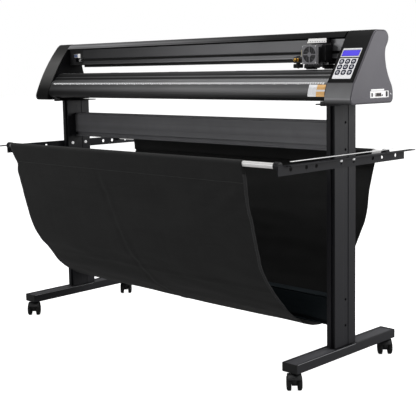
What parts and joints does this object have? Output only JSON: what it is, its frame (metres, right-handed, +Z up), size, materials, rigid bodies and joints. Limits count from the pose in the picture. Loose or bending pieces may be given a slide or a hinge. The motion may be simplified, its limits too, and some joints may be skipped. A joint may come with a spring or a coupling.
{
  "type": "vinyl cutter",
  "caption": "Wide roll vinyl cutter on a four-caster T-foot stand with a cloth catch bag, sliding blade carriage, grit and pinch roller feed, and a slanted keypad.",
  "frame": {"origin": "on the floor, midway between the two posts and the four casters", "axes": "+X along the machine to its right-hand end, where the keys are; +Y to its rear; +Z up"},
  "size_m": [1.64, 0.76, 1.1186],
  "materials": {
    "powder_coat": "semi-matt black powder coat on steel",
    "extrusion": "semi-matt black powder coat on an aluminium extrusion",
    "anodised": "black anodised, brushed along its length",
    "cap_plastic": "fine-grained moulded black",
    "black_plastic": "moulded black",
    "black_steel": "black painted steel",
    "steel": "turned bright steel",
    "silver": "satin silver grey",
    "rod_white": "bright silver rod",
    "brass": "turned brass",
    "cloth": "black woven polyester",
    "rubber": "black rubber",
    "panel_film": "white membrane film",
    "key_cap": "navy printed keys",
    "display": "blue backlit display",
    "white_strip": "off-white plastic",
    "board": "green circuit board"
  },
  "bodies": {
    "frame": {"left_foot": "powder_coat", "left_post": "extrusion", "left_bag_arm": "powder_coat", "left_side_plate": "black_steel", "left_end_cap": "cap_plastic", "right_foot": "powder_coat", "right_post": "extrusion", "right_bag_arm": "powder_coat", "right_side_plate": "black_steel", "right_end_cap": "cap_plastic", "upper_cross_beam": "extrusion", "lower_cross_beam": "extrusion", "front_bag_rod": "rod_white", "rear_bag_rod": "rod_white", "catch_bag": "cloth", "top_cover": "anodised", "carriage_rail": "anodised", "idler_bracket": "black_steel", "platen": "anodised", "cutting_strip": "white_strip", "feed_motor": "black_steel", "carriage_motor": "black_steel", "carriage_belt": "rubber", "control_panel_film": "panel_film", "display_screen": "display", "port_plate": "white_strip", "mains_inlet": "black_plastic", "main_board": "board", "outer_pinch_bracket": "black_steel"},
    "left_front_caster_hood": {"left_front_caster_hood": "black_plastic"},
    "left_front_caster_wheel": {"left_front_caster_wheel": "rubber"},
    "left_rear_caster_hood": {"left_rear_caster_hood": "black_plastic"},
    "left_rear_caster_wheel": {"left_rear_caster_wheel": "rubber"},
    "right_front_caster_hood": {"right_front_caster_hood": "black_plastic"},
    "right_front_caster_wheel": {"right_front_caster_wheel": "rubber"},
    "right_rear_caster_hood": {"right_rear_caster_hood": "black_plastic"},
    "right_rear_caster_wheel": {"right_rear_caster_wheel": "rubber"},
    "carriage": {"carriage_body": "black_plastic", "carriage_grille": "silver", "tool_clamp": "silver"},
    "blade_holder": {"blade_holder": "black_plastic"},
    "clamp_screw": {"clamp_screw": "brass"},
    "inner_pinch_bracket": {"inner_pinch_bracket": "black_steel"},
    "inner_pinch_arm": {"inner_pinch_arm": "black_plastic"},
    "inner_pinch_roller": {"inner_pinch_roller": "rubber"},
    "outer_pinch_arm": {"outer_pinch_arm": "black_plastic"},
    "outer_pinch_roller": {"outer_pinch_roller": "rubber"},
    "grit_shaft": {"grit_shaft": "steel"},
    "belt_idler_pulley": {"belt_idler_pulley": "steel"},
    "belt_drive_pulley": {"belt_drive_pulley": "steel"},
    "key_1": {"key_1": "key_cap"},
    "key_2": {"key_2": "key_cap"},
    "key_3": {"key_3": "key_cap"},
    "key_4": {"key_4": "key_cap"},
    "key_5": {"key_5": "key_cap"},
    "key_6": {"key_6": "key_cap"},
    "key_7": {"key_7": "key_cap"},
    "key_8": {"key_8": "key_cap"},
    "key_9": {"key_9": "key_cap"},
    "power_rocker": {"power_rocker": "black_plastic"}
  },
  "joints": [
    {"name": "left_front_caster_swivel", "type": "hinge", "parent": "frame", "child": "left_front_caster_hood", "pos_m": [-0.6975, -0.25, 0.052], "axis": [0, 0, 1], "continuous": true},
    {"name": "left_front_caster_roll", "type": "hinge", "parent": "left_front_caster_hood", "child": "left_front_caster_wheel", "pos_m": [-0.68767, -0.25997, 0.025], "axis": [0.712, 0.7022, 0], "continuous": true},
    {"name": "left_rear_caster_swivel", "type": "hinge", "parent": "frame", "child": "left_rear_caster_hood", "pos_m": [-0.6975, 0.25, 0.052], "axis": [0, 0, 1], "continuous": true},
    {"name": "left_rear_caster_roll", "type": "hinge", "parent": "left_rear_caster_hood", "child": "left_rear_caster_wheel", "pos_m": [-0.68767, 0.24003, 0.025], "axis": [0.712, 0.7022, 0], "continuous": true},
    {"name": "right_front_caster_swivel", "type": "hinge", "parent": "frame", "child": "right_front_caster_hood", "pos_m": [0.6975, -0.25, 0.052], "axis": [0, 0, 1], "continuous": true},
    {"name": "right_front_caster_roll", "type": "hinge", "parent": "right_front_caster_hood", "child": "right_front_caster_wheel", "pos_m": [0.70733, -0.25997, 0.025], "axis": [0.712, 0.7022, 0], "continuous": true},
    {"name": "right_rear_caster_swivel", "type": "hinge", "parent": "frame", "child": "right_rear_caster_hood", "pos_m": [0.6975, 0.25, 0.052], "axis": [0, 0, 1], "continuous": true},
    {"name": "right_rear_caster_roll", "type": "hinge", "parent": "right_rear_caster_hood", "child": "right_rear_caster_wheel", "pos_m": [0.70733, 0.24003, 0.025], "axis": [0.712, 0.7022, 0], "continuous": true},
    {"name": "carriage_slide", "type": "slide", "parent": "frame", "child": "carriage", "axis": [1, 0, 0], "range_m": [-1.174, 0.041]},
    {"name": "blade_drop", "type": "slide", "parent": "carriage", "child": "blade_holder", "axis": [0, 0, -1], "range_m": [0, 0.003], "stiffness_N_per_m": 60, "springref_m": -0.02},
    {"name": "clamp_screw_turn", "type": "hinge", "parent": "carriage", "child": "clamp_screw", "pos_m": [0.556, -0.055, 1.028], "axis": [0, -1, 0], "range_deg": [0, 360]},
    {"name": "inner_pinch_slide", "type": "slide", "parent": "frame", "child": "inner_pinch_bracket", "axis": [1, 0, 0], "range_m": [-1.15, 0]},
    {"name": "inner_pinch_lift", "type": "hinge", "parent": "inner_pinch_bracket", "child": "inner_pinch_arm", "pos_m": [0.567, 0.052, 1.008], "axis": [-1, 0, 0], "range_deg": [0, 8], "stiffness_Nm_per_rad": 2, "springref_deg": -22.92},
    {"name": "inner_pinch_spin", "type": "hinge", "parent": "inner_pinch_arm", "child": "inner_pinch_roller", "pos_m": [0.567, 0.012, 1.0039], "axis": [1, 0, 0], "continuous": true},
    {"name": "outer_pinch_lift", "type": "hinge", "parent": "frame", "child": "outer_pinch_arm", "pos_m": [0.643, 0.052, 1.008], "axis": [-1, 0, 0], "range_deg": [0, 8], "stiffness_Nm_per_rad": 2, "springref_deg": -22.92},
    {"name": "outer_pinch_spin", "type": "hinge", "parent": "outer_pinch_arm", "child": "outer_pinch_roller", "pos_m": [0.643, 0.012, 1.0039], "axis": [1, 0, 0], "continuous": true},
    {"name": "grit_shaft_turn", "type": "hinge", "parent": "frame", "child": "grit_shaft", "pos_m": [0, 0.012, 0.9846], "axis": [1, 0, 0], "continuous": true},
    {"name": "idler_pulley_turn", "type": "hinge", "parent": "frame", "child": "belt_idler_pulley", "pos_m": [-0.672, 0.02, 1.051], "axis": [0, 0, 1], "continuous": true},
    {"name": "drive_pulley_turn", "type": "hinge", "parent": "frame", "child": "belt_drive_pulley", "pos_m": [0.74, 0.02, 1.051], "axis": [0, 0, 1], "continuous": true},
    {"name": "key_1_press", "type": "slide", "parent": "frame", "child": "key_1", "axis": [0, 0.8272, -0.562], "range_m": [0, 0.0008], "stiffness_N_per_m": 400, "springref_m": -0.002},
    {"name": "key_2_press", "type": "slide", "parent": "frame", "child": "key_2", "axis": [0, 0.8272, -0.562], "range_m": [0, 0.0008], "stiffness_N_per_m": 400, "springref_m": -0.002},
    {"name": "key_3_press", "type": "slide", "parent": "frame", "child": "key_3", "axis": [0, 0.8272, -0.562], "range_m": [0, 0.0008], "stiffness_N_per_m": 400, "springref_m": -0.002},
    {"name": "key_4_press", "type": "slide", "parent": "frame", "child": "key_4", "axis": [0, 0.8272, -0.562], "range_m": [0, 0.0008], "stiffness_N_per_m": 400, "springref_m": -0.002},
    {"name": "key_5_press", "type": "slide", "parent": "frame", "child": "key_5", "axis": [0, 0.8272, -0.562], "range_m": [0, 0.0008], "stiffness_N_per_m": 400, "springref_m": -0.002},
    {"name": "key_6_press", "type": "slide", "parent": "frame", "child": "key_6", "axis": [0, 0.8272, -0.562], "range_m": [0, 0.0008], "stiffness_N_per_m": 400, "springref_m": -0.002},
    {"name": "key_7_press", "type": "slide", "parent": "frame", "child": "key_7", "axis": [0, 0.8272, -0.562], "range_m": [0, 0.0008], "stiffness_N_per_m": 400, "springref_m": -0.002},
    {"name": "key_8_press", "type": "slide", "parent": "frame", "child": "key_8", "axis": [0, 0.8272, -0.562], "range_m": [0, 0.0008], "stiffness_N_per_m": 400, "springref_m": -0.002},
    {"name": "key_9_press", "type": "slide", "parent": "frame", "child": "key_9", "axis": [0, 0.8272, -0.562], "range_m": [0, 0.0008], "stiffness_N_per_m": 400, "springref_m": -0.002},
    {"name": "power_rocker_tip", "type": "hinge", "parent": "frame", "child": "power_rocker", "pos_m": [0.814, 0.077, 0.916], "axis": [0, 1, 0], "range_deg": [0, 8]}
  ],
  "couplings": [
    {"joint": "idler_pulley_turn", "follows": "carriage_slide", "rad_per_m": 86.207},
    {"joint": "drive_pulley_turn", "follows": "carriage_slide", "rad_per_m": 86.207}
  ]
}
